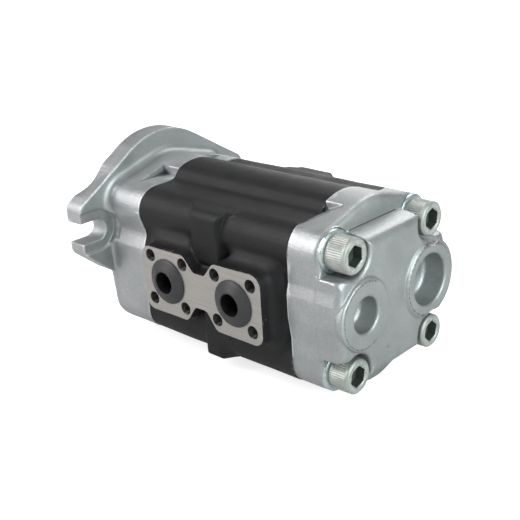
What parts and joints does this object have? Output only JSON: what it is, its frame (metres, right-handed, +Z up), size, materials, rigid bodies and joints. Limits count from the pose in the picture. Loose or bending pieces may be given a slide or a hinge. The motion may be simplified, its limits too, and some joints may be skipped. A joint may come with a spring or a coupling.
{
  "type": "hydraulic gear pump",
  "caption": "Tandem hydraulic gear pump with a slotted mounting flange, shared drive shaft, side delivery ports and a bolted rear cover.",
  "frame": {"origin": "centre of the mounting face, on the drive shaft's axis", "axes": "+X along the shaft from the mounting flange to the rear cover, +Z up, delivery ports facing -Y"},
  "size_m": [0.2118, 0.128, 0.1137],
  "materials": {
    "cast_aluminium": "die-cast, satin",
    "black_housing": "satin black on cast iron, machined delivery pad",
    "zinc_screw": "matt zinc plate",
    "zinc_washer": "bright zinc plate",
    "plug_plastic": "moulded, matt",
    "ground_steel": "ground",
    "block_alloy": "machined",
    "bush_bronze": "sintered bronze lining",
    "spring_steel": "blackened spring steel",
    "shaft_seal_rubber": "brown seal rubber, matt",
    "seal_rubber": "black seal rubber, matt"
  },
  "bodies": {
    "pump_case": {"front_cover": "cast_aluminium", "gear_housing": "black_housing", "rear_cover": "cast_aluminium", "cover_screws": "zinc_screw", "screw_washers": "zinc_washer", "front_delivery_plug": "plug_plastic", "rear_delivery_plug": "plug_plastic", "suction_plug": "plug_plastic", "front_outer_block": "block_alloy", "front_inner_block": "block_alloy", "rear_inner_block": "block_alloy", "rear_outer_block": "block_alloy", "front_outer_drive_bush": "bush_bronze", "front_outer_driven_bush": "bush_bronze", "front_inner_drive_bush": "bush_bronze", "front_inner_driven_bush": "bush_bronze", "rear_inner_drive_bush": "bush_bronze", "rear_inner_driven_bush": "bush_bronze", "rear_outer_drive_bush": "bush_bronze", "rear_outer_driven_bush": "bush_bronze", "front_outer_block_seal": "seal_rubber", "front_inner_block_seal": "seal_rubber", "rear_inner_block_seal": "seal_rubber", "rear_outer_block_seal": "seal_rubber", "front_joint_seal": "seal_rubber", "rear_joint_seal": "seal_rubber", "front_dowels": "ground_steel", "rear_dowels": "ground_steel", "shaft_seal": "shaft_seal_rubber", "seal_snap_ring": "spring_steel"},
    "drive_train": {"front_drive_gear": "ground_steel", "shaft_key": "ground_steel", "coupling_quill": "ground_steel", "rear_drive_gear": "ground_steel"},
    "front_driven": {"front_driven_gear": "ground_steel"},
    "rear_driven": {"rear_driven_gear": "ground_steel"}
  },
  "joints": [
    {"name": "drive_spin", "type": "hinge", "parent": "pump_case", "child": "drive_train", "pos_m": [0, 0, 0], "axis": [1, 0, 0], "continuous": true},
    {"name": "front_driven_spin", "type": "hinge", "parent": "pump_case", "child": "front_driven", "pos_m": [0.0695, 0, -0.0342], "axis": [1, 0, 0], "continuous": true},
    {"name": "rear_driven_spin", "type": "hinge", "parent": "pump_case", "child": "rear_driven", "pos_m": [0.1181, 0, -0.0342], "axis": [1, 0, 0], "continuous": true}
  ],
  "couplings": [
    {"joint": "front_driven_spin", "follows": "drive_spin", "ratio": -1},
    {"joint": "rear_driven_spin", "follows": "drive_spin", "ratio": -1}
  ]
}
